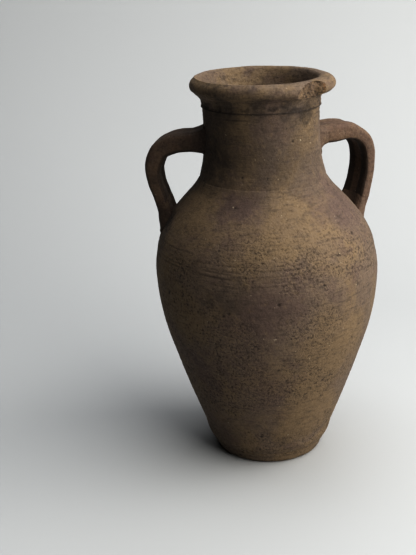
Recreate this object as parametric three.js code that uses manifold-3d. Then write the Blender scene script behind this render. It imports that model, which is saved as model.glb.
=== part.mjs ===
// Two-handled amphora vase in unglazed, smoke-darkened earthenware.
// Millimetres, +Z up. The origin is the centre of the flat foot, the handles stand to the
// two sides along X, set a little towards +Y, and -Y is the front. A pot like this is made
// in pieces that are joined with slip and wads of soft clay, so every thrown section,
// strap and wad is a body of its own.
import * as THREE from "three";
import { mergeVertices } from "three/addons/utils/BufferGeometryUtils.js";
import Module from "manifold-3d";

const wasm = await Module();
wasm.setup();

// ---- driving dimensions ----------------------------------------------------------------
const HEIGHT = 350;            // foot to the crest of the rim
const WALL = 7.5;              // thrown wall, measured square to it
const GAP = 0.3;               // slip joint between two pieces
const TURNS = 56;              // facets round the pot

const FLOOR_TOP = 11;          // thickness of the base disc
const BELLY_JOINT = 203;       // lower half meets upper half just above the widest turn
const NECK_JOINT = 262;        // shoulder meets neck
const COLLAR = 325;            // neck meets the rim ring
const SCARF = 3;               // each joint rises this much towards the inside

const LEAN = 4.2;              // the mouth stands this far off the axis
const LEAN_DIRECTION = 172;    // degrees from +X towards +Y

const STRAP_WIDTH = 32;
const STRAP_HOLLOW = 0.15;     // depth of the thumb channels, as a share of the thickness
const STRAP_CORNER = 6;        // rounding of the strap's edges
const STRAP_STEPS = 22;

const LIP_FLARE = [57.6, 337.2];      // radius and height where the collar turns out
const LIP_EDGE = [62.7, 343.4];       // widest point of the lip
const LIP_CREST = [56.4, HEIGHT];
const LIP_INSIDE = [50.6, 346.5];     // where the mouth starts to narrow
const CHIP_AZIMUTH = -53;             // degrees from +X, where a piece of the lip is gone
const CHIP_PLACE = [65.5, 338];       // radius and height of the missing piece's middle
const CHIP_HALF = [10, 17, 8.5];      // its half sizes outwards, along the lip and up

const NECK_WAD_HALF = [13, 21, 15.5];
const NECK_WAD_RADIUS = 48;
const NECK_WAD_RISE = 2;              // its middle above the strap's
const SHOULDER_WAD_HALF = [10, 18.5, 11];
const SHOULDER_WAD_PLACE = { left: [81, 233], right: [85, 230] };   // radius and height

// Outer outline of the body: height above the foot and radius. It runs on behind the rim.
const OUTLINE = [
  [0, 48.8], [42, 65.4], [100, 85.4], [138, 96.2], [172, 100.3], [194, 99.1], [213, 93.2],
  [231, 82.2], [246, 68.8], [260, 57.0], [278, 52.2], [304, 50.6], [326, 51.0], [336, 52.2],
];

// Where each handle stands, in degrees from +X towards +Y, and the middle line of its strap
// from neck to shoulder: distance from the axis and height. Its thickness goes from the
// first of thick at the neck to the second at the shoulder, between the two shares of its
// length in taper. They were pulled and set by hand, so the two differ a little and don't
// stand quite opposite each other.
const HANDLES = {
  left: {
    azimuth: 166,
    thick: [19, 12],
    taper: [0.2, 0.9],
    line: [
      [42, 293], [64, 293.5], [79, 291.5], [91, 284.5], [97, 270], [96, 257], [91.5, 243], [89, 233],
      [88, 221], [87, 209],
    ],
  },
  right: {
    azimuth: 22,
    thick: [18, 11.5],
    taper: [0, 0.55],
    line: [
      [42, 292.5], [66, 293], [88, 292], [104, 280], [107, 256], [101.5, 235], [96, 220], [91.5, 208],
    ],
  },
};

// ---- materials -------------------------------------------------------------------------
const BODY_CLAY = new THREE.MeshStandardMaterial({ color: "#5b4a3a", roughness: 0.88, metalness: 0 });
const HANDLE_CLAY = new THREE.MeshStandardMaterial({ color: "#4a3b30", roughness: 0.85, metalness: 0 });
const JOIN_CLAY = new THREE.MeshStandardMaterial({ color: "#54463a", roughness: 0.9, metalness: 0 });

// ---- the body's outline ----------------------------------------------------------------

// Slope of the outline at key point i, from its two neighbours.
function keySlope(i) {
  const [z0, r0] = OUTLINE[Math.max(i - 1, 0)];
  const [z1, r1] = OUTLINE[Math.min(i + 1, OUTLINE.length - 1)];
  return (r1 - r0) / (z1 - z0);
}

// Outer radius at height z: a smooth curve through the key points.
function outerRadius(z) {
  const last = OUTLINE.length - 2;
  const i = Math.min(Math.max(OUTLINE.findIndex(([key]) => key > z) - 1, 0), last);
  const [z0, r0] = OUTLINE[i];
  const [z1, r1] = OUTLINE[i + 1];
  const span = z1 - z0;
  const t = (z - z0) / span;
  const rise = (r1 - r0) * t * t * (3 - 2 * t);
  const ease = keySlope(i) * span * t * (1 - t) ** 2 - keySlope(i + 1) * span * t * t * (1 - t);
  return r0 + rise + ease;
}

// Inner radius at height z, one wall thickness inside, measured square to the surface.
function innerRadius(z) {
  const slope = outerRadius(z + 0.5) - outerRadius(z - 0.5);
  return outerRadius(z) - WALL * Math.hypot(1, slope);
}

// Points of one radius function between two heights.
function stretch(radiusAt, from, to, steps) {
  const points = [];
  for (let i = 0; i <= steps; i += 1) {
    const z = from + (to - from) * i / steps;
    points.push(new THREE.Vector2(radiusAt(z), z));
  }
  return points;
}

// ---- solids ----------------------------------------------------------------------------

// The whole pot leans a little further with height.
function leanOver(geometry) {
  const angle = THREE.MathUtils.degToRad(LEAN_DIRECTION);
  const position = geometry.getAttribute("position");
  for (let i = 0; i < position.count; i += 1) {
    const shift = LEAN * (position.getZ(i) / HEIGHT) ** 2;
    position.setX(i, position.getX(i) + shift * Math.cos(angle));
    position.setY(i, position.getY(i) + shift * Math.sin(angle));
  }
  geometry.computeVertexNormals();
  return geometry;
}

// A closed outline of (radius, height) points turned about Z.
function turned(points) {
  const first = points[0];
  const onAxis = first.x === 0;
  const closed = onAxis ? points : [...points, first.clone()];
  return new THREE.LatheGeometry(closed, TURNS).rotateX(Math.PI / 2);
}

// A ring of wall between two scarfed joints.
function wallRing(from, to, steps) {
  const outer = stretch(outerRadius, from + GAP / 2, to - GAP / 2, steps);
  const inner = stretch(innerRadius, to + SCARF - GAP / 2, from + SCARF + GAP / 2, steps);
  return turned([...outer, ...inner]);
}

// The body's outside as a filled solid, grown by the slip joint, to trim handles against.
function filledBody() {
  const grown = (z) => outerRadius(z) + GAP;
  const skin = stretch(grown, 0, COLLAR, 40);
  const foot = new THREE.Vector2(0, 0);
  const top = new THREE.Vector2(0, COLLAR);
  return turned([foot, ...skin, top]);
}

// Strap section: x across the width, y through a thickness of 1, with a shallow channel
// along the outer face and a deeper one along the inner face.
function strapSection(grow) {
  const w = STRAP_WIDTH / 2 + grow;
  const shape = new THREE.Shape();
  shape.moveTo(-w, 0);
  shape.quadraticCurveTo(-w, 0.5, -w + STRAP_CORNER, 0.5);
  shape.quadraticCurveTo(0, 0.5 - STRAP_HOLLOW, w - STRAP_CORNER, 0.5);
  shape.quadraticCurveTo(w, 0.5, w, 0);
  shape.quadraticCurveTo(w, -0.5, w - STRAP_CORNER, -0.5);
  shape.quadraticCurveTo(0, -0.5 + 2 * STRAP_HOLLOW, -w + STRAP_CORNER, -0.5);
  shape.quadraticCurveTo(-w, -0.5, -w, 0);
  return shape;
}

// A strap: a straight bar of length 1 bent along its middle line and thinned on the way,
// grown on every face by the slip joint or by 0, then turned to where its handle stands.
function bentStrap(name, grow) {
  const { azimuth, thick: [neckThick, tailThick], taper, line } = HANDLES[name];
  const path = new THREE.SplineCurve(line.map(([x, z]) => new THREE.Vector2(x, z)));
  const bar = new THREE.ExtrudeGeometry(strapSection(grow), {
    depth: 1, steps: STRAP_STEPS, curveSegments: 3, bevelEnabled: false,
  });
  const position = bar.getAttribute("position");
  for (let i = 0; i < position.count; i += 1) {
    const along = Math.min(Math.max(position.getZ(i), 0), 1);
    const thinned = THREE.MathUtils.smoothstep(along, ...taper);
    const thick = THREE.MathUtils.lerp(neckThick, tailThick, thinned) + 2 * grow;
    const middle = path.getPointAt(along);
    const tangent = path.getTangentAt(along);
    const out = position.getY(i) * thick;
    const across = position.getX(i);
    position.setXYZ(i, middle.x - tangent.y * out, across, middle.y + tangent.x * out);
  }
  return bar.rotateZ(THREE.MathUtils.degToRad(azimuth));
}

// A wad of soft clay by a handle: an ellipsoid with its three half sizes.
function wad(name, half, radius, height) {
  return new THREE.SphereGeometry(1, 18, 10)
    .scale(...half)
    .translate(radius, 0, height)
    .rotateZ(THREE.MathUtils.degToRad(HANDLES[name].azimuth));
}

// ---- joining and cutting ---------------------------------------------------------------

function toSolid(geometry) {
  const bare = geometry.clone();
  bare.deleteAttribute("normal");
  bare.deleteAttribute("uv");
  const merged = mergeVertices(bare, 1e-3);
  return new wasm.Manifold(new wasm.Mesh({
    numProp: 3,
    vertProperties: new Float32Array(merged.getAttribute("position").array),
    triVerts: new Uint32Array(merged.getIndex().array),
  }));
}

function toGeometry(solid) {
  const mesh = solid.getMesh();
  const geometry = new THREE.BufferGeometry();
  geometry.setAttribute("position", new THREE.BufferAttribute(mesh.vertProperties, 3));
  geometry.setIndex(new THREE.BufferAttribute(mesh.triVerts, 1));
  return geometry;
}

// One geometry with others cut away from it.
function cut(geometry, ...cutters) {
  const solid = cutters.reduce((left, cutter) => left.subtract(toSolid(cutter)), toSolid(geometry));
  return toGeometry(solid);
}

// ---- the pieces ------------------------------------------------------------------------

// Flat slab of clay that the pot was thrown on; its rim is softened where it was trimmed.
function baseDisc() {
  const softening = 2;
  const side = stretch(outerRadius, softening, FLOOR_TOP - GAP / 2, 3);
  return turned([
    new THREE.Vector2(0, 0),
    new THREE.Vector2(outerRadius(0) - softening, 0),
    ...side,
    new THREE.Vector2(innerRadius(FLOOR_TOP), FLOOR_TOP + SCARF - GAP / 2),
    new THREE.Vector2(0, FLOOR_TOP),
  ]);
}

// Collar ring, flare and rolled lip in one closed outline.
function rimRing() {
  const foot = outerRadius(COLLAR) + 0.9;
  const [edgeRadius, edgeHeight] = LIP_EDGE;
  const outline = new THREE.Path();
  outline.moveTo(foot, COLLAR + GAP / 2);
  outline.quadraticCurveTo(foot + 0.4, 333, ...LIP_FLARE);
  outline.quadraticCurveTo(edgeRadius, 339.4, edgeRadius, edgeHeight);
  outline.quadraticCurveTo(edgeRadius, 348.6, ...LIP_CREST);
  outline.quadraticCurveTo(52.2, HEIGHT, ...LIP_INSIDE);
  outline.quadraticCurveTo(46, 338, innerRadius(COLLAR), COLLAR + SCARF + GAP / 2);
  return turned(outline.getPoints(3));
}

// The piece knocked out of the lip: a scoop from below its outer edge, near the front.
function lipChip() {
  const [radius, height] = CHIP_PLACE;
  return new THREE.IcosahedronGeometry(1, 2)
    .scale(...CHIP_HALF)
    .translate(radius, 0, height)
    .rotateZ(THREE.MathUtils.degToRad(CHIP_AZIMUTH));
}

function handle(name) {
  return cut(bentStrap(name, 0), filledBody());
}

// Wad round the strap where it leaves the neck.
function neckWad(name) {
  const [, height] = HANDLES[name].line[0];
  const lump = wad(name, NECK_WAD_HALF, NECK_WAD_RADIUS, height + NECK_WAD_RISE);
  return cut(lump, bentStrap(name, GAP), filledBody());
}

// Wad in the crotch between the shoulder and the tail of the strap pressed onto it.
function shoulderWad(name) {
  const lump = wad(name, SHOULDER_WAD_HALF, ...SHOULDER_WAD_PLACE[name]);
  return cut(lump, bentStrap(name, GAP), filledBody());
}

// ---- assembly --------------------------------------------------------------------------
const amphora = new THREE.Group();

function addPiece(name, geometry, material) {
  const mesh = new THREE.Mesh(leanOver(geometry), material);
  mesh.name = name;
  amphora.add(mesh);
}

addPiece("base_disc", baseDisc(), BODY_CLAY);
addPiece("lower_body", wallRing(FLOOR_TOP, BELLY_JOINT, 10), BODY_CLAY);
addPiece("upper_body", wallRing(BELLY_JOINT, NECK_JOINT, 7), BODY_CLAY);
addPiece("neck", wallRing(NECK_JOINT, COLLAR, 4), BODY_CLAY);
addPiece("rim", cut(rimRing(), lipChip()), BODY_CLAY);
for (const name of Object.keys(HANDLES)) {
  addPiece(`handle_${name}`, handle(name), HANDLE_CLAY);
  addPiece(`neck_wad_${name}`, neckWad(name), JOIN_CLAY);
  addPiece(`shoulder_wad_${name}`, shoulderWad(name), JOIN_CLAY);
}

export default amphora;
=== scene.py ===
import bisect
import functools
import math
import random

import bmesh
import bpy
from mathutils import Matrix, Vector, kdtree, noise


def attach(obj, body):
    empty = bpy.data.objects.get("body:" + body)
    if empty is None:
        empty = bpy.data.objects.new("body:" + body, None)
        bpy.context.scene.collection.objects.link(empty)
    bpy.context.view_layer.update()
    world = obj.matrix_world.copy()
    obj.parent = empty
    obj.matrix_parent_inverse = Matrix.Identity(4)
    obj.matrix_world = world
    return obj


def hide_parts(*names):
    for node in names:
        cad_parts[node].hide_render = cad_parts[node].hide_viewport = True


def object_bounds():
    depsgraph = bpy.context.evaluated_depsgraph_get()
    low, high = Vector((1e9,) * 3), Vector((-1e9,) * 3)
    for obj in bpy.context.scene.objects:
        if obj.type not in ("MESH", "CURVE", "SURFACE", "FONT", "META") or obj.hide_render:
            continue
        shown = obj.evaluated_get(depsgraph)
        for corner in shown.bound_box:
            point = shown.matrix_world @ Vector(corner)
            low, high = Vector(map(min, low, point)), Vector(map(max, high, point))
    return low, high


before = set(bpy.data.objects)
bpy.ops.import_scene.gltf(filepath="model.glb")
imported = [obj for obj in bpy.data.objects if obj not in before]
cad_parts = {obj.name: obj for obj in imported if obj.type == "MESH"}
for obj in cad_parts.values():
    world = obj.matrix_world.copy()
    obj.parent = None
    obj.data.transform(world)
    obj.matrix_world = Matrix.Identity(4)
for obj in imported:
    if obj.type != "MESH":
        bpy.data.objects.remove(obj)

cad_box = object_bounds()

bl_info = {
    "name": "Two-handled amphora",
    "version": (1, 0, 0),
    "blender": (4, 5, 0),
    "location": "3D View > Sidebar > Amphora",
    "description": "Builds a hand-thrown earthenware amphora round its packed frame",
    "category": "Add Mesh",
}

MM = 0.001
THROWN = ("base_disc", "lower_body", "upper_body", "neck")
POLE = 10 * MM                     # nearer the axis than this lies the middle of the floor
SHARP_ANGLE = math.radians(55)     # edges bent more than this are drawn sharp

# The two straps. azimuth is where each stands in degrees from +X; thick is its thickness
# in mm at the neck and the shoulder, and taper the shares of its length between which it
# thins; smoked, from 0 to 1, is painted shade over the whole strap; line is its middle line
# in mm, from neck to shoulder: distance from the axis and height.
STRAPS = {
    "left": {
        "azimuth": 166, "thick": (19, 12), "taper": (0.2, 0.9), "strap_shade": 0.5,
        "line": (
            (42, 293), (64, 293.5), (79, 291.5), (91, 284.5), (97, 270), (96, 257), (91.5, 243),
            (89, 233), (87.5, 221), (85, 209)),
    },
    "right": {
        "azimuth": 22, "thick": (18, 11.5), "taper": (0.2, 0.65), "strap_shade": 0.05,
        "line": (
            (42, 292.5), (66, 293), (88, 292), (104, 280), (107, 256), (101.5, 235), (96, 220),
            (91.5, 208)),
    },
}


def linear(hex_colour):
    """An sRGB hex value as linear red, green and blue."""
    channels = [int(hex_colour[i:i + 2], 16) / 255 for i in (1, 3, 5)]
    return tuple(c / 12.92 if c <= 0.04045 else ((c + 0.055) / 1.055) ** 2.4 for c in channels)


def smooth(value, low=0.0, high=1.0):
    """0 below low, 1 above high, and an even ease between."""
    t = min(max((value - low) / (high - low), 0.0), 1.0)
    return t * t * (3 - 2 * t)


# ---- the frame's outline ---------------------------------------------------------------


def rings(node):
    """The turned rings of a CAD node, lowest first: (height, centre, radius, faces outwards)."""
    levels = {}
    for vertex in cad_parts[node].data.vertices:
        levels.setdefault(round(vertex.co.z, 5), []).append(vertex)
    found = []
    for height, vertices in sorted(levels.items()):
        xs = [v.co.x for v in vertices]
        ys = [v.co.y for v in vertices]
        centre = Vector(((min(xs) + max(xs)) / 2, (min(ys) + max(ys)) / 2, 0))
        arms = [(Vector((v.co.x, v.co.y, 0)) - centre) for v in vertices]
        radius = max(arm.length for arm in arms)
        outward = sum(arm.dot(v.normal) for arm, v in zip(arms, vertices)) > 0
        if radius > POLE:
            found.append((height, centre, radius, outward))
    return found


NODE_RINGS = {node: rings(node) for node in THROWN}
OUTLINE = [(h, r) for node in THROWN for h, c, r, outward in NODE_RINGS[node] if outward and h > 0.001]
OUTLINE_HEIGHTS = [h for h, r in OUTLINE]
HEIGHT = cad_box[1][2]
TOP_RING = NODE_RINGS["neck"][-1]
LEAN = TOP_RING[1] / (TOP_RING[0] / HEIGHT) ** 2


def key_slope(i):
    """Slope of the outline at ring i, from its two neighbours."""
    z0, r0 = OUTLINE[max(i - 1, 0)]
    z1, r1 = OUTLINE[min(i + 1, len(OUTLINE) - 1)]
    return (r1 - r0) / (z1 - z0)


@functools.lru_cache(maxsize=None)
def outer_radius(height):
    """Radius of the outside at a height: a smooth curve through the frame's rings."""
    i = bisect.bisect_right(OUTLINE_HEIGHTS, height) - 1
    i = min(max(i, 0), len(OUTLINE) - 2)
    (z0, r0), (z1, r1) = OUTLINE[i], OUTLINE[i + 1]
    span = z1 - z0
    t = (height - z0) / span
    if t < 0 or t > 1:
        return (r0 if t < 0 else r1) + key_slope(i + (t > 1)) * (height - (z0 if t < 0 else z1))
    rise = (r1 - r0) * t * t * (3 - 2 * t)
    return r0 + rise + span * t * (1 - t) * (key_slope(i) * (1 - t) - key_slope(i + 1) * t)


@functools.lru_cache(maxsize=None)
def outline_slope(height):
    """How fast the outside widens with height."""
    return (outer_radius(height + MM) - outer_radius(height - MM)) / (2 * MM)


def joint_height(below, above):
    """Height where two thrown sections meet on the outside."""
    top = max(h for h, c, r, outward in NODE_RINGS[below] if outward)
    foot = min(h for h, c, r, outward in NODE_RINGS[above] if outward)
    return (top + foot) / 2


def wall_thickness():
    """Thickness of the thrown wall, measured on the neck's lowest inner ring."""
    height, centre, radius, outward = [ring for ring in NODE_RINGS["neck"] if not ring[3]][1]
    return outer_radius(height) - radius


def lean_over(place):
    """The pot leans a little further with height."""
    return place + LEAN * (place.z / HEIGHT) ** 2


# ---- settings a user would change ------------------------------------------------------


def colour(name, description, hex_colour):
    return bpy.props.FloatVectorProperty(
        name=name, description=description, size=3, subtype="COLOR", min=0, max=1,
        default=linear(hex_colour))


def length(name, description, millimetres):
    return bpy.props.FloatProperty(
        name=name, description=description, default=millimetres * MM, unit="LENGTH", precision=4)


def angle(name, description, degrees):
    return bpy.props.FloatProperty(
        name=name, description=description, default=math.radians(degrees), subtype="ANGLE")


class AmphoraColours(bpy.types.PropertyGroup):
    umber: colour("Umber", "Fired clay where it is plain", "#645649")
    ochre: colour("Ochre", "Clay where the wiped slip is thick", "#705F49")
    plum: colour("Plum grey", "Clay clouded by the flame", "#564740")
    # Real smoke clouds, and also painted shade under the lip and in the grit's dips.
    smoke_and_shade: colour("Smoke", "Clay darkened by smoke", "#382F28")
    # Painted shade: the darker, redder brown that the handles and wads are drawn towards.
    shade_tint: colour("Rust", "Clay rubbed by hands on the handles", "#523A2D")
    # Painted shade: the colour laid in hollows and creases, on the neck's shaded side and under the lip.
    painted_shade_colour: colour("Soot", "Bottoms of pores and grooves", "#261E18")
    # Bared clay in the chip, also used for a painted highlight along the chip's edge.
    bared_and_highlight: colour("Fresh clay", "Clay bared by a chip", "#9C744C")
    lime: colour("Lime", "Pale grains in the clay", "#A69A84")
    paper: colour("Paper", "Studio floor and backdrop", "#A7A8A8")
    room: colour("Room", "What is seen past the edge of the paper", "#D6D8D8")


class AmphoraSizes(bpy.types.PropertyGroup):
    turn_steps: bpy.props.IntProperty(
        name="Turn steps", description="Facets round every thrown section", default=520, min=48)
    row_gap: length("Row gap", "Distance between rows of points up the wall", 1.3)
    tooled_row_gap: length("Tooled row gap", "The same where the scraping tool went round", 0.7)
    strap_width: length("Strap width", "Width of the handle straps", 32)
    strap_fullness: bpy.props.FloatProperty(
        name="Strap fullness", description="Multiplies the thickness of both straps", default=1.0,
        min=0.5, max=1.5)
    wobble: length("Wobble", "How far the thrown wall strays from a true circle", 0.7)
    camera_distance: length("Camera distance", "From the axis to the camera, level", 865.6)
    camera_height: length("Camera height", "Above the floor", 478.1)
    camera_azimuth: angle("Camera azimuth", "Turn of the camera round the pot", -9)


class AmphoraSettings(bpy.types.PropertyGroup):
    colours: bpy.props.PointerProperty(type=AmphoraColours)
    sizes: bpy.props.PointerProperty(type=AmphoraSizes)


# ---- relief of the thrown clay ---------------------------------------------------------

# Marks of the scraping tool round the joint of the two halves: height in mm, middle and
# half length in degrees, depth and width in mm, and rise in mm over the half length.
TOOL_MARKS = (
    (220.2, -106, 38, 0.22, 0.55, 0.6),
    (218.0, -130, 14, 0.16, 0.6, -0.3),
    (214.5, -78, 30, 0.10, 0.9, 0.4),
    (208.0, -106, 34, 0.20, 0.6, 0.8),
    (205.2, -90, 20, 0.18, 0.6, 0.8),
    (203.4, -121, 12, 0.30, 0.8, -0.4),
    (201.4, -124, 9, 0.30, 0.8, -0.8),
    (200.4, -94, 18, 0.22, 0.6, 1.0),
    (197.5, -124, 12, 0.34, 0.9, -0.9),
    (196.0, -86, 22, 0.20, 0.6, 1.2),
    (192.5, -95, 16, 0.24, 0.6, 1.4),
    (190.6, -118, 10, 0.22, 0.7, -1.2),
    (189.0, -82, 12, 0.16, 0.6, 1.0),
)
TOOLED_BAND = (180, 230)           # heights in mm
MARK_EDGE = 4                      # widths of a mark from its middle at which it has ended
RIDGE_SHARE = 0.45                 # height of the clay pushed up beside a mark, as a share
RIDGE_PLACE = 1.7                  # widths of a mark from its middle to that ridge


def more_tool_marks(count, seed):
    """The same scraping carried on round the rest of the belly."""
    pick = random.Random(seed)
    marks = []
    for _ in range(count):
        height = pick.uniform(188, 222)
        middle = pick.uniform(-48, 222)
        marks.append((
            height, middle, pick.uniform(8, 30), pick.uniform(0.1, 0.3), 0.7, pick.uniform(-1, 1)))
    return marks


ALL_MARKS = list(TOOL_MARKS) + more_tool_marks(26, 4)


def wrapped(degrees):
    """An angle brought between -180 and 180 degrees."""
    return (degrees + 180) % 360 - 180


def scraped(height, azimuth):
    """(depth cut, ridge pushed up) in mm by the scraping tool, at mm and degrees."""
    depth = 0.0
    ridge = 0.0
    if not TOOLED_BAND[0] < height < TOOLED_BAND[1]:
        return depth, ridge
    for level, middle, reach, cut, width, rise in ALL_MARKS:
        along = wrapped(azimuth - middle) / reach
        if abs(along) < 1:
            off = (height - level - rise * along) / width
            if abs(off) < MARK_EDGE:
                fade = 1 - along ** 4
                depth += cut * math.exp(-off * off) * fade
                ridge += RIDGE_SHARE * cut * math.exp(-(off - RIDGE_PLACE) ** 2) * fade
    return depth, ridge


def throwing_rings(place, height):
    """Fine finger rings in mm: closest and clearest on the neck, fading on the belly."""
    on_neck = smooth(height, 235, 275)
    wander = 1.4 * noise.noise(place * 16)
    pitch = 3.6 + 2.6 * (1 - on_neck)
    strength = 0.05 + 0.05 * on_neck
    uneven = 0.6 + noise.noise(place * 30)
    return strength * math.sin(2 * math.pi * (height + wander) / pitch) * uneven


GROOVE_HEIGHT = 319.5              # mm
GROOVE_WIDTH = 0.9
GROOVE_DEPTH = 0.4


def neck_groove(place, height):
    """A faint wandering groove just below the collar, 0 to 1."""
    off = height - GROOVE_HEIGHT - 1.2 * noise.noise(place * 30)
    patchy = smooth(0.5 + noise.noise(place * 24), 0.1, 0.9)
    return math.exp(-(off / GROOVE_WIDTH) ** 2) * patchy


def graininess(place):
    """How coarse the clay is, 0 to 1: rough over the belly, smoother on shoulder and neck."""
    height = place.z / MM
    cloud = 0.55 + 0.9 * noise.noise(place * 20 + Vector((0, 5, 2))) + 0.4 * noise.noise(place * 55)
    low = 1 - smooth(height, 208, 246)
    band = smooth(height, 180, 196) * (1 - smooth(height, 206, 216))
    return 0.12 + low * 0.88 * smooth(cloud + 0.1 * band, 0.2, 0.95)


def clay_relief(place, sizes):
    """(offset in mm, painted shade in its hollows from 0 to 1, graininess) of the outside at a place on
    the outline.
    """
    height = place.z / MM
    azimuth = math.degrees(math.atan2(place.y, place.x))
    wobble = sizes.wobble / MM * noise.noise(place * 9 + Vector((3, 1, 0)))
    dents = 0.26 * noise.noise(place * 34)
    lumps = 0.11 * noise.noise(place * 95)
    coarse = graininess(place)
    pores = noise.noise(place * 330)
    grit = (0.03 + 0.15 * coarse) * (pores + 0.5 * noise.noise(place * 560))
    cut, ridge = scraped(height, azimuth)
    band = 0.16 * smooth(height, 203, 209) * (1 - smooth(height, 214, 224))
    groove = neck_groove(place, height)
    swell = wobble + dents + lumps + grit + throwing_rings(place, height)
    offset = swell - cut + ridge + band - GROOVE_DEPTH * groove
    # Painted shade in the tool marks, in the dips of the grit and in the groove below the collar.
    dark = cut / 0.7 + max(-pores - 0.15, 0) * 1.2 * coarse + 0.6 * groove
    return offset, min(dark, 1.0), coarse


def inner_relief(place):
    """Offset in mm of the inside: broad finger ridges and lumps."""
    pitch = 8.5
    height = place.z / MM + 1.5 * noise.noise(place * 14)
    return 0.45 * math.sin(2 * math.pi * height / pitch) + 0.4 * noise.noise(place * 30)


# ---- mesh helpers ----------------------------------------------------------------------


def finish_piece(bm, name, nodes, material):
    """Turns a bmesh into a smooth-shaded piece that stands for its CAD nodes."""
    for face in bm.faces:
        face.smooth = True
    for edge in bm.edges:
        edge.smooth = edge.calc_face_angle(0) < SHARP_ANGLE
    mesh = bpy.data.meshes.new(name)
    bm.to_mesh(mesh)
    bm.free()
    piece = bpy.data.objects.new(name, mesh)
    bpy.context.scene.collection.objects.link(piece)
    mesh.materials.append(material)
    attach(piece, "root")
    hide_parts(*nodes)
    return piece


def spun(profile, closed, steps):
    """A bmesh of (radius, height) points turned about Z: an eighth is spun, then doubled thrice."""
    bm = bmesh.new()
    points = [bm.verts.new((radius, 0, height)) for radius, height in profile]
    pairs = list(zip(points, points[1:]))
    if closed:
        pairs.append((points[-1], points[0]))
    edges = [bm.edges.new(pair) for pair in pairs]
    doublings = 3
    sector = 2 * math.pi / 2 ** doublings
    bmesh.ops.spin(
        bm, geom=points + edges, cent=(0, 0, 0), axis=(0, 0, 1), angle=sector,
        steps=steps // 2 ** doublings, use_merge=False, use_duplicate=False)
    for _ in range(doublings):
        copied = bmesh.ops.duplicate(bm, geom=bm.verts[:] + bm.edges[:] + bm.faces[:])["geom"]
        verts = [part for part in copied if isinstance(part, bmesh.types.BMVert)]
        bmesh.ops.rotate(bm, verts=verts, cent=(0, 0, 0), matrix=Matrix.Rotation(sector, 3, "Z"))
        sector *= 2
    bmesh.ops.remove_doubles(bm, verts=bm.verts, dist=1e-6)
    bmesh.ops.recalc_face_normals(bm, faces=bm.faces)
    return bm


# Pits that stand out: azimuth in degrees, height, radius and depth in mm.
PLACED_PITS = (
    (-93, 177, 2.2, 1.1),
    (-70, 189, 2.0, 0.9),
    (-27, 257, 2.2, 1.2),
    (-47, 322, 1.8, 1.0),
    (-75, 312, 1.4, 0.5),
    (-38, 238, 1.6, 0.6),
    (-82, 14, 2.0, 0.6),
    (-64, 94, 1.8, 0.6),
)


def scattered_pits(count, heights, seed):
    """Small open pits where grains fell out, anywhere round a band of the wall."""
    pick = random.Random(seed)
    pits = []
    for _ in range(count):
        azimuth = pick.uniform(-180, 180)
        pits.append((azimuth, pick.uniform(*heights), pick.uniform(1.2, 2.2), pick.uniform(0.25, 0.7)))
    return pits


def sink_pits(bm, pits, painted_shade):
    """Presses pits into the outside of a thrown section, and paints shade into them."""
    points = list(bm.verts)
    tree = kdtree.KDTree(len(points))
    for i, vertex in enumerate(points):
        tree.insert(vertex.co, i)
    tree.balance()
    for azimuth, height, reach, depth in pits:
        turn = math.radians(azimuth)
        outward = Vector((math.cos(turn), math.sin(turn), 0))
        centre = outward * outer_radius(height * MM) + Vector((0, 0, height * MM))
        for co, i, distance in tree.find_range(centre, reach * MM):
            fall = (1 - (distance / reach / MM) ** 2) ** 2
            points[i].co -= outward * depth * MM * fall
            points[i][painted_shade] = min(points[i][painted_shade] + fall, 1.0)


def row_heights(low, high, sizes):
    """Heights of the rows of points up the outside: closer together over the tool marks."""
    heights = [low]
    while heights[-1] < high:
        tooled = TOOLED_BAND[0] * MM < heights[-1] < TOOLED_BAND[1] * MM
        heights.append(heights[-1] + (sizes.tooled_row_gap if tooled else sizes.row_gap))
    stretch = (high - low) / (heights[-1] - low)
    return [low + (height - low) * stretch for height in heights]


def wall_profile(low, high, scarf, wall, sizes):
    """Closed outline of one thrown section between two outside heights."""
    inner_rows = 24
    outer = [(outer_radius(z), z) for z in row_heights(low, high, sizes)]
    inner = []
    for i in range(inner_rows + 1):
        z = high + scarf - (high - low) * i / inner_rows
        inner.append((outer_radius(z) - wall * math.hypot(1, outline_slope(z)), z))
    return outer + inner


# How coarse the clay is drawn where it isn't the outside of a thrown section, 0 to 1.
INSIDE_GRAIN = 0.2
LIP_GRAIN = 0.25
STRAP_GRAIN = 0.3
CHIP_GRAIN = 0.7


def press_relief(bm, sizes, wall):
    """Moves every point of a thrown section by the clay's relief."""
    # Painted shade of the hollows, 0 to 1, kept on every point.
    painted_shade = bm.verts.layers.float.new("painted_shade")
    grain = bm.verts.layers.float.new("grain")
    for vertex in bm.verts:
        place = vertex.co.copy()
        radius = math.hypot(place.x, place.y)
        if radius < 0.4 * POLE:
            continue
        radial = Vector((place.x / radius, place.y / radius, 0))
        if radius > outer_radius(place.z) - wall * 0.5:
            offset, vertex[painted_shade], vertex[grain] = clay_relief(place, sizes)
            upright = smooth(place.z, 0, 6 * MM)
            slope = outline_slope(place.z) * upright
            outward = (radial - Vector((0, 0, slope))).normalized()
            vertex.co += outward * offset * MM * (0.3 + 0.7 * upright)
        else:
            vertex.co += radial * inner_relief(place) * MM * smooth(radius, POLE, 3 * POLE)
            vertex[grain] = INSIDE_GRAIN
    return painted_shade


def lean_all(bm):
    """Leans a finished section over with the pot."""
    for vertex in bm.verts:
        vertex.co = lean_over(vertex.co)


# ---- materials -------------------------------------------------------------------------


def add(tree, kind, inputs=None, **settings):
    """Adds a shader node with its settings, and sets or links its inputs."""
    made = tree.nodes.new("ShaderNode" + kind)
    for name, value in settings.items():
        setattr(made, name, value)
    for socket, value in (inputs or {}).items():
        if isinstance(value, bpy.types.NodeSocket):
            tree.links.new(value, made.inputs[socket])
        else:
            made.inputs[socket].default_value = value
    return made


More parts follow.
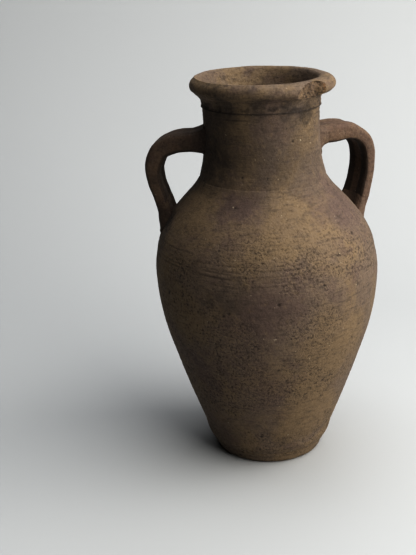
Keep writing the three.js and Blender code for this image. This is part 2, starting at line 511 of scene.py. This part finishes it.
def blend(tree, factor, first, second, mode="MIX"):
    """Mixes two colours by a factor."""
    inputs = {0: factor, 6: first, 7: second}
    return add(tree, "Mix", inputs, data_type="RGBA", blend_type=mode).outputs[2]


def ramp(tree, value, low, high, to_low=0.0, to_high=1.0):
    """Eases a value from one range to another."""
    inputs = {"Value": value, "From Min": low, "From Max": high, "To Min": to_low, "To Max": to_high}
    return add(tree, "MapRange", inputs, interpolation_type="SMOOTHSTEP").outputs[0]


def speckle(tree, place, size_mm, detail=3.0, roughness=0.55, distortion=0.0):
    """Noise with features of a real size in millimetres."""
    inputs = {
        "Vector": place, "Scale": 1 / (size_mm * MM), "Detail": detail, "Roughness": roughness,
        "Distortion": distortion,
    }
    return add(tree, "TexNoise", inputs).outputs["Fac"]


def rgba(value):
    return (*value, 1.0)


# Clouds laid on the fired clay: azimuth in degrees, height and radius in mm, colour
# and strength. Most are the clay's own colour; some are painted shade, marked below.
CLOUDS = (
    (-119, 244, 24, "plum", 0.95),
    (-102, 166, 30, "plum", 0.85),
    (-86, 181, 22, "plum", 0.75),
    (-119, 180, 20, "smoke_and_shade", 0.5),
    (-98, 86, 26, "plum", 0.6),
    (-138, 100, 26, "plum", 0.7),
    (-81, 31, 12, "smoke_and_shade", 0.35),
    (-106, 120, 20, "plum", 0.5),
    (-135, 147, 15, "ochre", 0.95),
    (-76, 236, 40, "ochre", 0.75),
    (-106, 222, 24, "ochre", 0.6),
    (-60, 120, 46, "ochre", 0.95),
    (-64, 60, 34, "ochre", 0.85),
    (-128, 60, 20, "ochre", 0.6),
    (-60, 292, 40, "smoke_and_shade", 0.38),
    (-110, 290, 40, "smoke_and_shade", 0.45),
    # Painted shade on the side of the neck that is turned from the light.
    (-165, 285, 40, "painted_shade_colour", 0.75),
    (-32, 240, 36, "plum", 0.85),
    (-88, 320, 20, "plum", 0.5),
    # Painted shade under the lip, in this line and the next three.
    (-48, 331, 14, "painted_shade_colour", 0.75),
    (-72, 329, 14, "smoke_and_shade", 0.8),
    (-108, 333, 16, "smoke_and_shade", 0.7),
    (-140, 331, 18, "smoke_and_shade", 0.8),
    # Painted shade in the creases by the straps' tails, in this line and the next.
    (180, 226, 17, "painted_shade_colour", 0.9),
    (9, 228, 14, "painted_shade_colour", 0.8),
    (2, 200, 40, "plum", 0.6),
    (57, 120, 46, "smoke_and_shade", 0.6),
    (82, 230, 40, "ochre", 0.6),
    (112, 150, 44, "plum", 0.7),
    (152, 80, 40, "ochre", 0.6),
    (172, 200, 36, "smoke_and_shade", 0.6),
    (32, 60, 30, "ochre", 0.5),
)


def surface_place(azimuth, height):
    """The point of the outside at an azimuth in degrees and a height in mm."""
    radius = outer_radius(height * MM)
    turn = math.radians(azimuth)
    return lean_over(Vector((radius * math.cos(turn), radius * math.sin(turn), height * MM)))


def product(tree, first, second):
    """Two values multiplied."""
    return add(tree, "Math", {0: first, 1: second}, operation="MULTIPLY").outputs[0]


def strayed_place(tree, place):
    """The place pushed about by up to a centimetre or so, for ragged edges."""
    push = 85 * MM
    stray = add(tree, "TexNoise", {"Vector": place, "Scale": 38.0, "Detail": 6.0, "Roughness": 0.65})
    pull = add(tree, "VectorMath", {0: stray.outputs["Color"], 1: (0.5, 0.5, 0.5)}, operation="SUBTRACT")
    moved = add(tree, "VectorMath", {0: pull.outputs[0], 3: push}, operation="SCALE")
    return add(tree, "VectorMath", {0: place, 1: moved.outputs[0]}, operation="ADD").outputs[0]


def cloud_colours(tree, place, colours):
    """Fired-clay colour: umber drifting to ochre and plum, with the clouds, some of them painted shade,
    laid over it.
    """
    broad = speckle(tree, place, 60, 5, 0.62, 0.6)
    drift = speckle(tree, place, 22, 6, 0.65, 0.4)
    base = blend(tree, ramp(tree, broad, 0.42, 0.62), rgba(colours.umber), rgba(colours.ochre))
    base = blend(tree, ramp(tree, drift, 0.5, 0.68, 0.0, 0.6), base, rgba(colours.plum))
    strayed = strayed_place(tree, place)
    for azimuth, height, radius, name, strength in CLOUDS:
        centre = surface_place(azimuth, height)
        away = add(tree, "VectorMath", {0: strayed, 1: centre}, operation="DISTANCE").outputs["Value"]
        cover = ramp(tree, away, radius * MM * 0.3, radius * MM * 1.3, strength, 0.0)
        base = blend(tree, cover, base, rgba(getattr(colours, name)))
    return base


def earthenware(name, colours, shade_tint_share):
    """Unglazed earthenware, thrown, wiped and fired smoky: dry, matt and grainy, with soft
    clouds, painted shade in grooves and pores, painted highlights on the grit, and a few pale
    grains. rubbed, from 0 to 1, is how far it is drawn towards a darker, redder brown: painted shade."""
    material = bpy.data.materials.new(name)
    material.use_nodes = True
    tree = material.node_tree
    tree.nodes.clear()
    place = add(tree, "TexCoord").outputs["Object"]
    wiped = add(tree, "Mapping", {"Vector": place, "Scale": (1.0, 1.0, 6.0)}).outputs[0]
    # The painted shade of hollows, creases and shaded straps, kept on the points.
    painted_shade = add(tree, "Attribute", attribute_name="painted_shade").outputs["Fac"]
    bared_and_highlight = add(tree, "Attribute", attribute_name="bared_and_highlight").outputs["Fac"]
    grain = add(tree, "Attribute", attribute_name="grain").outputs["Fac"]

    base = cloud_colours(tree, place, colours)
    # Painted shade: a darker, redder brown for the handles and wads.
    base = blend(tree, shade_tint_share, base, rgba(colours.shade_tint))
    streak = speckle(tree, wiped, 12, 5, 0.65)
    base = blend(tree, ramp(tree, streak, 0.48, 0.72, 0.0, 0.5), base, rgba(colours.smoke_and_shade))
    blotch = speckle(tree, place, 7, 4, 0.65)
    base = blend(tree, ramp(tree, blotch, 0.5, 0.7, 0.0, 0.35), base, rgba(colours.smoke_and_shade))
    base = blend(tree, ramp(tree, blotch, 0.3, 0.46, 0.35, 0.0), base, rgba(colours.ochre))
    # Grit of about 0.7 mm is drawn at 2 mm so that it shows at arm's length.
    grit = speckle(tree, place, 2.0, 3, 0.62)
    # Painted shade in the grit's dips and a painted highlight on its tips, matching the bump below.
    pores = product(tree, ramp(tree, grit, 0.5, 0.7, 0.0, 0.7), grain)
    tip_highlight = product(tree, ramp(tree, grit, 0.32, 0.46, 0.7, 0.0), grain)
    base = blend(tree, tip_highlight, base, rgba(colours.ochre))
    base = blend(tree, ramp(tree, grit, 0.55, 0.72, 0.0, 0.3), base, rgba(colours.smoke_and_shade))
    base = blend(tree, pores, base, rgba(colours.painted_shade_colour))
    pale = speckle(tree, place, 3.4, 1, 0.5)
    base = blend(tree, ramp(tree, pale, 0.75, 0.8, 0.0, 0.45), base, rgba(colours.lime))
    # Painted shade in hollows and creases, and over the straps that sit in shade.
    base = blend(tree, ramp(tree, painted_shade, 0.08, 0.9, 0.0, 0.8), base, rgba(colours.painted_shade_colour))
    # Bared clay in the chip, and the painted highlight along its edge.
    bared = blend(tree, ramp(tree, grit, 0.38, 0.62), rgba(colours.bared_and_highlight), rgba(colours.smoke_and_shade))
    base = blend(tree, bared_and_highlight, base, bared)

    rough = ramp(tree, grit, 0.3, 0.7, 0.68, 0.92)
    height = product(tree, grit, ramp(tree, grain, 0.0, 1.0, -0.25, -1.0))
    fine = add(tree, "Bump", {"Height": height, "Strength": 0.8, "Distance": 0.9 * MM})
    coarse = speckle(tree, place, 5.0, 4, 0.65)
    middle = add(tree, "Bump", {"Height": coarse, "Strength": 0.6, "Distance": 1.2 * MM,
                                "Normal": fine.outputs[0]})
    comb = speckle(tree, wiped, 5.0, 4, 0.6)
    lined = add(tree, "Bump", {"Height": comb, "Strength": 0.4, "Distance": 0.7 * MM,
                               "Normal": middle.outputs[0]})
    shader = add(tree, "BsdfPrincipled", {
        "Base Color": base, "Roughness": rough, "Normal": lined.outputs[0], "IOR": 1.5,
        "Specular IOR Level": 0.35,
    })
    add(tree, "OutputMaterial", {"Surface": shader.outputs[0]})
    return material


def backdrop_paper(colours):
    """Matt studio paper, rolled: pale, even and free of gloss. Its back is clear, so that the
    pot can be looked at from behind the sweep."""
    material = bpy.data.materials.new("matt_backdrop_paper")
    material.use_nodes = True
    tree = material.node_tree
    tree.nodes.clear()
    paper = add(tree, "BsdfPrincipled", {
        "Base Color": rgba(colours.paper), "Roughness": 0.95, "Specular IOR Level": 0.1,
    })
    clear = add(tree, "BsdfTransparent")
    behind = add(tree, "NewGeometry").outputs["Backfacing"]
    sides = add(tree, "MixShader", {0: behind, 1: paper.outputs[0], 2: clear.outputs[0]})
    add(tree, "OutputMaterial", {"Surface": sides.outputs[0]})
    return material


def pale_room(colours):
    """A room that is seen past the paper's edge but gives no light."""
    world = bpy.data.worlds.new("pale_room")
    world.use_nodes = True
    tree = world.node_tree
    tree.nodes.clear()
    seen = add(tree, "LightPath").outputs["Is Camera Ray"]
    room = add(tree, "Background", {"Color": rgba(colours.room), "Strength": seen})
    add(tree, "OutputWorld", {"Surface": room.outputs[0]})
    return world


def clay(name, shade_tint_share, colours):
    """The named clay, made once and shared by the pieces that use it."""
    return bpy.data.materials.get(name) or earthenware(name, colours, shade_tint_share)


# ---- straps and wads -------------------------------------------------------------------


def between(before, start, end, after, t):
    """A point of the smooth curve from start to end that also heeds its two neighbours."""
    leave = (end - before) / 2
    arrive = (after - start) / 2
    swing = 3 * (end - start) - 2 * leave - arrive
    settle = 2 * (start - end) + leave + arrive
    return start + leave * t + swing * t ** 2 + settle * t ** 3


class Strap:
    """A strap: its middle line, a smooth curve read by distance along it, and its thickness."""

    SAMPLES = 24

    def __init__(self, name):
        shape = STRAPS[name]
        self.facing = Matrix.Rotation(math.radians(shape["azimuth"]), 3, "Z")
        self.thick = shape["thick"]
        self.taper = shape["taper"]
        self.strap_shade = shape["strap_shade"]
        self.seed = shape["azimuth"]
        keys = [Vector(point) * MM for point in shape["line"]]
        self.points = []
        for i in range(len(keys) - 1):
            before = keys[max(i - 1, 0)]
            after = keys[min(i + 2, len(keys) - 1)]
            for j in range(self.SAMPLES):
                t = j / self.SAMPLES
                self.points.append(between(before, keys[i], keys[i + 1], after, t))
        self.points.append(keys[-1])
        self.reach = [0.0]
        for a, b in zip(self.points, self.points[1:]):
            self.reach.append(self.reach[-1] + (b - a).length)
        self.length = self.reach[-1]

    def at(self, distance):
        """(point, direction) at a distance along the line, carried on straight past its ends."""
        i = bisect.bisect_right(self.reach, distance) - 1
        i = min(max(i, 0), len(self.points) - 2)
        step = self.points[i + 1] - self.points[i]
        t = (distance - self.reach[i]) / step.length
        ahead = self.points[min(i + 4, len(self.points) - 1)]
        behind = self.points[max(i - 3, 0)]
        return self.points[i] + step * t, (ahead - behind).normalized()

    def thickness(self, along):
        """Thickness in m at a share of the length."""
        neck, tail = self.thick
        return (neck + (tail - neck) * smooth(along, *self.taper)) * MM


def strap_section(turn, half_width, half_thick):
    """A point of the strap's section: rounded edges, a thumb channel down each face."""
    c = math.cos(turn)
    s = math.sin(turn)
    across = math.copysign(abs(c) ** 0.55, c)
    out = math.copysign(abs(s) ** 0.55, s)
    hollow = math.exp(-(across / 0.5) ** 2)
    deep = 0.14 if s > 0 else 0.42
    rib = 0.16 * math.exp(-(across / 0.16) ** 2) if s < 0 else 0.0
    return across * half_width, out * half_thick * (1 - deep * hollow + rib)


def strap_point(strap, distance, turn, sizes, swell=0.0):
    """A point on a strap's skin, lifted off it by swell."""
    middle, direction = strap.at(distance)
    along = min(max(distance / strap.length, 0), 1)
    thick = strap.thickness(along) * sizes.strap_fullness
    waist = smooth(along, 0.1, 0.5) * (1 - smooth(along, 0.6, 0.9))
    wide = sizes.strap_width * (1 + 0.05 * smooth(along, 0.7, 1.0) - 0.05 * waist)
    across, out = strap_section(turn, wide / 2 + swell, thick / 2 + swell)
    x = middle.x - direction.y * out
    z = middle.y + direction.x * out
    return strap.facing @ Vector((x, across, z))


def strap_relief(place, turn):
    """Finger dents, long drag marks and grit on a pulled strap, in mm."""
    dents = 0.7 * noise.noise(place * 48 + Vector((7, 0, 0)))
    lumps = 0.28 * noise.noise(place * 120)
    drag = 0.2 * noise.noise(Vector((math.cos(turn) * 5, math.sin(turn) * 5, place.z * 12)))
    grit = 0.09 * noise.noise(place * 420)
    return dents + lumps + drag + grit


def inner_face_shade(turn):
    """Painted shade in the thumb channels of a strap's inner face, 0 to 1."""
    if math.sin(turn) > 0:
        return 0.0
    across = abs(math.cos(turn))
    return smooth(across, 0.04, 0.22) * (1 - smooth(across, 0.8, 0.97))


def kept_in_wall(place, wall):
    """Keeps the hidden end of a strap or wad inside the thickness of the thrown wall."""
    radius = math.hypot(place.x, place.y)
    least = outer_radius(place.z) - wall * 0.6
    if radius < least:
        place.x *= least / radius
        place.y *= least / radius
    return place


def tube(rows, segments):
    """A closed straight tube of radius 1 and length 1, its rows evenly spaced."""
    bm = bmesh.new()
    bmesh.ops.create_cone(bm, cap_ends=True, segments=segments, radius1=1, radius2=1, depth=1)
    lengthwise = [e for e in bm.edges if abs(e.verts[0].co.z - e.verts[1].co.z) > 0.5]
    bmesh.ops.subdivide_edges(bm, edges=lengthwise, cuts=rows - 1, use_grid_fill=False)
    return bm


def bend_tube(bm, place_at):
    """Moves each point of a straight tube to place_at(turn, share of the length), which also gives the
    painted shade there.
    """
    painted_shade = bm.verts.layers.float.new("painted_shade")
    grain = bm.verts.layers.float.new("grain")
    for vertex in bm.verts:
        turn = math.atan2(vertex.co.y, vertex.co.x)
        share = vertex.co.z + 0.5
        vertex.co, vertex[painted_shade] = place_at(turn, share)
        vertex[grain] = STRAP_GRAIN
    bmesh.ops.recalc_face_normals(bm, faces=bm.faces)


def crossing(strap, turn, sizes, from_neck):
    """Distance along a strap at which its skin, on the side of turn, meets the pot."""
    steps = 500
    for i in range(steps):
        share = i / steps
        distance = strap.length * (share if from_neck else 1 - share)
        place = strap_point(strap, distance, turn, sizes)
        if math.hypot(place.x, place.y) > outer_radius(place.z):
            return distance
    raise RuntimeError("a strap never leaves the pot")


# ---- operators -------------------------------------------------------------------------


class AMPHORA_OT_throw_sections(bpy.types.Operator):
    """Throws the base disc, both halves of the body and the neck"""

    bl_idname = "amphora.throw_sections"
    bl_label = "Throw the sections"

    PITS = {"lower_body": 80, "upper_body": 16, "neck": 10}

    def execute(self, context):
        settings = context.scene.amphora
        sizes = settings.sizes
        wall = wall_thickness()
        material = clay("wiped_smoked_earthenware", 0.0, settings.colours)
        joints = [joint_height(below, above) for below, above in zip(THROWN, THROWN[1:])]
        joints.append(max(h for h, c, r, outward in NODE_RINGS["neck"] if outward))
        inner_foot = min(h for h, c, r, outward in NODE_RINGS["lower_body"] if not outward)
        scarf = inner_foot - joints[0]
        for node, low, high in zip(THROWN[1:], joints, joints[1:]):
            bm = spun(wall_profile(low, high, scarf, wall, sizes), True, sizes.turn_steps)
            painted_shade = press_relief(bm, sizes, wall)
            band = (low / MM + 4, high / MM - 3)
            placed = [pit for pit in PLACED_PITS if band[0] < pit[1] < band[1]]
            sink_pits(bm, placed + scattered_pits(self.PITS[node], band, len(node)), painted_shade)
            lean_all(bm)
            finish_piece(bm, node + "_clay", [node], material)
        self.base(sizes, wall, scarf, joints[0], material)
        return {"FINISHED"}

    @staticmethod
    def base(sizes, wall, scarf, top, material):
        """The base disc: a trimmed edge, a flat foot and a dished floor."""
        softening = 2 * MM
        foot = outer_radius(softening) - 1.2 * MM
        count = 9
        corner_steps = 6
        corner = [
            (foot - softening * (1 - math.sin(a)), softening * (1 - math.cos(a)))
            for a in [math.pi / 2 * i / corner_steps for i in range(corner_steps)]
        ]
        side = [softening + (top - softening) * i / count for i in range(count + 1)]
        inner = outer_radius(top + scarf) - wall * math.hypot(1, outline_slope(top))
        floor = [(inner * share, top + scarf * share ** 3) for share in (1, 0.8, 0.6, 0.4, 0.2, 0)]
        under = [(foot * share, 0) for share in (0, 0.3, 0.6, 0.85)]
        profile = under + corner + [(outer_radius(z), z) for z in side] + floor
        bm = spun(profile, False, sizes.turn_steps)
        press_relief(bm, sizes, wall)
        lean_all(bm)
        finish_piece(bm, "base_disc_clay", ["base_disc"], material)


class AMPHORA_OT_roll_rim(bpy.types.Operator):
    """Rolls the rim: collar, flare, everted lip and the chip knocked out of it"""

    bl_idname = "amphora.roll_rim"
    bl_label = "Roll the rim"

    # Outline above the collar in mm: radius beyond the neck's top, and height.
    OUTLINE = (
        (0.9, 0), (0.75, 3.4), (1.5, 7.2), (3.6, 10.2), (7.4, 12.3), (10.9, 15.0), (11.8, 18.2),
        (10.6, 21.7), (7.4, 24.3), (4.1, 25), (1.3, 23.6), (-0.9, 19.4), (-3.4, 13.4), (-6.0, 7.0),
        (-7.3, 3),
    )
    CHIP_AZIMUTH = -56
    CHIP_CENTRE = (64.8, 337.5)        # distance from the axis and height, mm
    CHIP_HALF = (10.6, 16.5, 15.5)     # outwards, along the lip and upwards, mm
    CHIP_SLANT = 0.4                   # how far the foot of the chip runs back along the lip
    ROW_GAP = 0.5 * MM
    UNEVEN_AZIMUTH = math.radians(-9)  # where the lip turns out furthest
    LIP_STRAY = 1.7                    # mm that the lip strays outwards there
    MOUTH_STRAY = -2.1                 # mm that the inside of the mouth does

    def execute(self, context):
        settings = context.scene.amphora
        sizes = settings.sizes
        collar = max(h for h, c, r, outward in NODE_RINGS["neck"] if outward)
        neck_top = outer_radius(collar)
        keys = [Vector((neck_top + out * MM, collar + up * MM)) for out, up in self.OUTLINE]
        bm = spun(self.smooth_outline(keys), True, sizes.turn_steps)
        self.shape(bm, collar)
        lean_all(bm)
        material = clay("wiped_smoked_earthenware", 0.0, settings.colours)
        finish_piece(bm, "rim_clay", ["rim"], material)
        return {"FINISHED"}

    @staticmethod
    def smooth_outline(keys):
        """Points about half a millimetre apart on a smooth curve through the keys."""
        points = []
        for i in range(len(keys) - 1):
            before = keys[max(i - 1, 0)]
            after = keys[min(i + 2, len(keys) - 1)]
            count = max(2, round((keys[i + 1] - keys[i]).length / AMPHORA_OT_roll_rim.ROW_GAP))
            for j in range(count):
                points.append(between(before, keys[i], keys[i + 1], after, j / count))
        return points + [keys[-1]]

    def shape(self, bm, collar):
        """Relief, an uneven lip, painted shade at the collar and under the lip, and the chip."""
        painted_shade = bm.verts.layers.float.new("painted_shade")
        bared_and_highlight = bm.verts.layers.float.new("bared_and_highlight")
        grain = bm.verts.layers.float.new("grain")
        bm.normal_update()
        normals = [vertex.normal.copy() for vertex in bm.verts]
        for vertex, normal in zip(bm.verts, normals):
            place = vertex.co.copy()
            azimuth = math.atan2(place.y, place.x)
            radial = Vector((math.cos(azimuth), math.sin(azimuth), 0))
            up = smooth(place.z, collar + 3 * MM, collar + 18 * MM)
            if place.z < collar + 0.6 * MM:
                normal = radial
            outside = smooth(math.hypot(place.x, place.y), 0.053, 0.060)
            stray = self.LIP_STRAY * outside + self.MOUTH_STRAY * (1 - outside)
            drift = stray * math.cos(azimuth - self.UNEVEN_AZIMUTH) * up
            wave = 0.45 * up * noise.noise(radial * 2.2 + Vector((0, 0, 4)))
            dents = 0.45 * noise.noise(place * 60) + 0.14 * noise.noise(place * 170)
            grit = 0.09 * noise.noise(place * 420)
            phase = 2 * math.pi * place.z / (4.2 * MM) + 2 * noise.noise(place * 20)
            rings_in = 0.16 * math.sin(phase)
            vertex.co += radial * (drift + rings_in * (1 - up)) * MM
            vertex.co += normal * (dents + grit) * MM
            vertex.co.z += wave * MM
            # Painted shade: along the collar's ledge, and in patches under the lip.
            ledge = smooth(collar + 2 * MM - place.z, 0, 2 * MM)
            under_lip_shade = smooth(noise.noise(place * 70) + 0.5 * noise.noise(place * 220), 0.0, 0.4)
            under_lip_shade *= 1 - smooth(place.z, collar + 2 * MM, collar + 11 * MM)
            vertex[painted_shade] = max(0.95 * ledge, 0.8 * under_lip_shade)
            vertex[bared_and_highlight] = self.chip(vertex)
            vertex[grain] = CHIP_GRAIN if vertex[bared_and_highlight] > 0 else LIP_GRAIN

    def chip(self, vertex):
        """Pushes a point out of the scoop that was knocked from the lip; returns how bare it is, with a
        painted highlight along the edge towards one end.
        """
        turn = math.radians(self.CHIP_AZIMUTH)
        outward = Vector((math.cos(turn), math.sin(turn), 0))
        along = Vector((-outward.y, outward.x, 0))
        distance, height = self.CHIP_CENTRE
        centre = outward * distance * MM + Vector((0, 0, height * MM))
        half_out, half_along, half_up = (size * MM for size in self.CHIP_HALF)
        away = vertex.co - centre
        ragged = 1 + 0.14 * noise.noise(vertex.co * 130) + 0.06 * noise.noise(vertex.co * 400)
        a = (away.dot(along) - away.z * self.CHIP_SLANT) / half_along / ragged
        u = away.z / half_up / ragged
        rest = 1 - a * a - u * u
        if rest <= 0:
            return 0.0
        rough = 0.7 * noise.noise(vertex.co * 240) + 0.35 * noise.noise(vertex.co * 520)
        limit = -math.sqrt(rest) * half_out * ragged + rough * MM * smooth(rest, 0, 0.2)
        reach = away.dot(outward)
        if reach <= limit:
            return 0.0
        vertex.co += outward * (limit - reach)
        # Bared clay, with a painted highlight on the edge towards one end of the chip.
        edge = 1 - smooth(rest, 0.02, 0.35)
        return 0.08 + edge * (0.1 + 0.75 * smooth(a, 0.3, 0.9))


class AMPHORA_OT_pull_handles(bpy.types.Operator):
    """Pulls the two strap handles and sets them from neck to shoulder"""

    bl_idname = "amphora.pull_handles"
    bl_label = "Pull the handles"

    TAIL = 10 * MM            # how far a strap runs on into the shoulder's wall
    ROWS = 190
    SEGMENTS = 112

    def execute(self, context):
        settings = context.scene.amphora
        # The straps' clay is drawn half way to a darker, redder brown: painted shade.
        material = clay("pulled_smoked_earthenware", 0.5, settings.colours)
        wall = wall_thickness()
        for name in STRAPS:
            strap = Strap(name)

            def place_at(turn, share):
                distance = share * (strap.length + self.TAIL)
                place = strap_point(strap, distance, turn, settings.sizes)
                offset = strap_relief(place, turn)
                place = strap_point(strap, distance, turn, settings.sizes, offset * MM)
                # Painted shade: over the whole strap, in its dents and in the channels of its inner
                # face.
                dark = strap.strap_shade + max(-offset * 0.4, 0) + inner_face_shade(turn)
                return lean_over(kept_in_wall(place, wall)), min(dark, 1.0)

            bm = tube(self.ROWS, self.SEGMENTS)
            bend_tube(bm, place_at)
            finish_piece(bm, f"handle_{name}_clay", [f"handle_{name}"], material)
        return {"FINISHED"}


class AMPHORA_OT_press_wads(bpy.types.Operator):
    """Presses the wads of joining clay round the ends of both handles"""

    bl_idname = "amphora.press_wads"
    bl_label = "Press the wads"

    BURIED = 0.25             # share of a wad's length that lies in the pot's wall
    DEPTH = 7 * MM            # how far that share runs into the wall
    ROWS = 44
    SEGMENTS = 96
    # Reach along the strap, and swell off its outer face, its edges and its inner face, mm.
    WADS = {
        "neck_wad_left": (16, (8.0, 3.5, 2.0)),
        "neck_wad_right": (15, (2.0, 3.0, 9.0)),
        "shoulder_wad_left": (20, (1.8, 3.0, 3.0)),
        "shoulder_wad_right": (22, (2.4, 3.5, 3.0)),
    }

    def execute(self, context):
        settings = context.scene.amphora
        # The wads' clay is drawn 0.35 of the way to a darker, redder brown: painted shade.
        material = clay("smeared_smoked_earthenware", 0.35, settings.colours)
        wall = wall_thickness()
        for node, (reach, swells) in self.WADS.items():
            name = node.rsplit("_", 1)[1]
            from_neck = node.startswith("neck")
            place_at = self.wad(Strap(name), reach * MM, swells, from_neck, settings.sizes, wall)
            bm = tube(self.ROWS, self.SEGMENTS)
            bend_tube(bm, place_at)
            finish_piece(bm, node + "_clay", [node], material)
        return {"FINISHED"}

    def wad(self, strap, reach, swells, from_neck, sizes, wall):
        """The place_at of one wad: a ragged fillet between the strap and the pot."""
        outwards = 1 if from_neck else -1
        outer, edge, inner = swells

        @functools.lru_cache(maxsize=None)
        def meets(turn):
            return crossing(strap, turn, sizes, from_neck)

        def place_at(turn, share):
            face = math.sin(turn)
            swell = edge + ((outer if face > 0 else inner) - edge) * smooth(abs(face), 0.2, 0.9)
            ragged = noise.noise(Vector((math.cos(turn) * 2, face * 2, strap.seed + outwards * 4)))
            swell *= 1 + 0.3 * ragged
            if share < self.BURIED:
                gone = 0.0
                distance = meets(turn) - outwards * self.DEPTH * (1 - share / self.BURIED)
            else:
                gone = ((share - self.BURIED) / (1 - self.BURIED)) ** 2
                distance = meets(turn) + outwards * reach * gone
            lift = swell * (1 - math.sqrt(1 - (1 - gone) ** 2)) - 0.4 * smooth(gone, 0.5, 1.0)
            place = strap_point(strap, distance, turn, sizes)
            offset = strap_relief(place, turn)
            place = strap_point(strap, distance, turn, sizes, (offset + lift) * MM)
            # The whole wad carries its strap's painted shade.
            return lean_over(kept_in_wall(place, wall)), strap.strap_shade

        return place_at


class AMPHORA_OT_set_stage(bpy.types.Operator):
    """Sets the paper floor and sweep, the window light and the camera"""

    bl_idname = "amphora.set_stage"
    bl_label = "Set the stage"

    LENS = 64.86              # mm
    SENSOR = 36
    ASIDE = -0.67 * MM        # how far the camera stands to the side of the axis
    YAW = -3.55               # degrees the camera looks off the axis
    PITCH = 19.8
    ROLL = -1.85
    VIEW_GAMMA = 0.72         # below 1 deepens the shadows
    FLOOR_HALF = 1.7          # m
    COVE_START = 0.35         # m behind the pot
    COVE_RADIUS = 0.7
    COVE_ANGLE = math.radians(80)
    COVE_STEPS = 48
    LIT_HEIGHT = 0.15         # m above the floor, where the lights point

    def execute(self, context):
        settings = context.scene.amphora
        turn = Matrix.Rotation(settings.sizes.camera_azimuth, 4, "Z")
        self.camera(context.scene, settings.sizes, turn)
        self.paper(settings.colours, turn)
        self.lights(context.scene, turn)
        context.scene.world = pale_room(settings.colours)
        return {"FINISHED"}

    def camera(self, scene, sizes, turn):
        """A camera placed and tilted as the eye that looks at the pot."""
        data = bpy.data.cameras.new("camera")
        data.lens = self.LENS
        data.sensor_width = self.SENSOR
        data.sensor_fit = "AUTO"
        camera = bpy.data.objects.new("camera", data)
        scene.collection.objects.link(camera)
        place = Matrix.Translation((self.ASIDE, -sizes.camera_distance, sizes.camera_height))
        aim = Matrix.Rotation(math.radians(-self.YAW), 4, "Z")
        tilt = Matrix.Rotation(math.radians(90 - self.PITCH), 4, "X")
        roll = Matrix.Rotation(math.radians(self.ROLL), 4, "Z")
        camera.matrix_world = turn @ place @ aim @ tilt @ roll
        scene.camera = camera

    def paper(self, colours, turn):
        """A wide floor that sweeps up behind the pot."""
        bm = bmesh.new()
        bmesh.ops.create_grid(bm, x_segments=1, y_segments=1, size=self.FLOOR_HALF)
        back = [e for e in bm.edges if all(v.co.y > 0 for v in e.verts)]
        for vertex in back[0].verts:
            vertex.co.y = self.COVE_START
        bmesh.ops.spin(
            bm, geom=back, cent=(0, self.COVE_START, self.COVE_RADIUS), axis=(1, 0, 0),
            angle=self.COVE_ANGLE, steps=self.COVE_STEPS, use_duplicate=False)
        bmesh.ops.recalc_face_normals(bm, faces=bm.faces)
        floor = max(bm.faces, key=lambda face: face.calc_area())
        if floor.normal.z < 0:
            bmesh.ops.reverse_faces(bm, faces=bm.faces)
        for face in bm.faces:
            face.smooth = True
        mesh = bpy.data.meshes.new("paper_sweep")
        bm.transform(turn)
        bm.to_mesh(mesh)
        bm.free()
        sweep = bpy.data.objects.new("paper_sweep", mesh)
        bpy.context.scene.collection.objects.link(sweep)
        mesh.materials.append(backdrop_paper(colours))

    # Place in m, side in m, power in W and tint of each light, seen from the camera's side.
    LIGHTS = {
        "window": ((1.05, -0.5, 0.85), 1.9, 60, "#FFFDF9"),
        "ceiling": ((0.3, 0.25, 2.2), 2.6, 72, "#FAFCFF"),
    }

    def lights(self, scene, turn):
        """One wide window to the right, and a soft glow from the ceiling."""
        target = Vector((0, 0, self.LIT_HEIGHT))
        for name, (place, size, watts, tint) in self.LIGHTS.items():
            data = bpy.data.lights.new(name, "AREA")
            data.shape = "SQUARE"
            data.size = size
            data.energy = watts
            data.color = linear(tint)
            lamp = bpy.data.objects.new(name, data)
            aim = (target - Vector(place)).to_track_quat("-Z", "Y").to_matrix().to_4x4()
            lamp.matrix_world = turn @ Matrix.Translation(place) @ aim
            scene.collection.objects.link(lamp)
        scene.view_settings.view_transform = "Standard"
        scene.view_settings.gamma = self.VIEW_GAMMA


OPERATORS = (
    AMPHORA_OT_set_stage,
    AMPHORA_OT_throw_sections,
    AMPHORA_OT_roll_rim,
    AMPHORA_OT_pull_handles,
    AMPHORA_OT_press_wads,
)


class AMPHORA_PT_panel(bpy.types.Panel):
    """Lists the steps of the build and its settings"""

    bl_idname = "AMPHORA_PT_panel"
    bl_label = "Amphora"
    bl_space_type = "VIEW_3D"
    bl_region_type = "UI"
    bl_category = "Amphora"

    def draw(self, context):
        settings = context.scene.amphora
        for operator in OPERATORS:
            self.layout.operator(operator.bl_idname)
        for group in (settings.sizes, settings.colours):
            for name in group.__annotations__:
                self.layout.prop(group, name)


CLASSES = (AmphoraColours, AmphoraSizes, AmphoraSettings, *OPERATORS, AMPHORA_PT_panel)


def register():
    for cls in CLASSES:
        bpy.utils.register_class(cls)
    bpy.types.Scene.amphora = bpy.props.PointerProperty(type=AmphoraSettings)


def unregister():
    del bpy.types.Scene.amphora
    for cls in reversed(CLASSES):
        bpy.utils.unregister_class(cls)


def main():
    """Builds the pot and its stage."""
    register()
    bpy.ops.amphora.set_stage()
    bpy.ops.amphora.throw_sections()
    bpy.ops.amphora.roll_rim()
    bpy.ops.amphora.pull_handles()
    bpy.ops.amphora.press_wads()


if __name__ == "__main__":
    main()
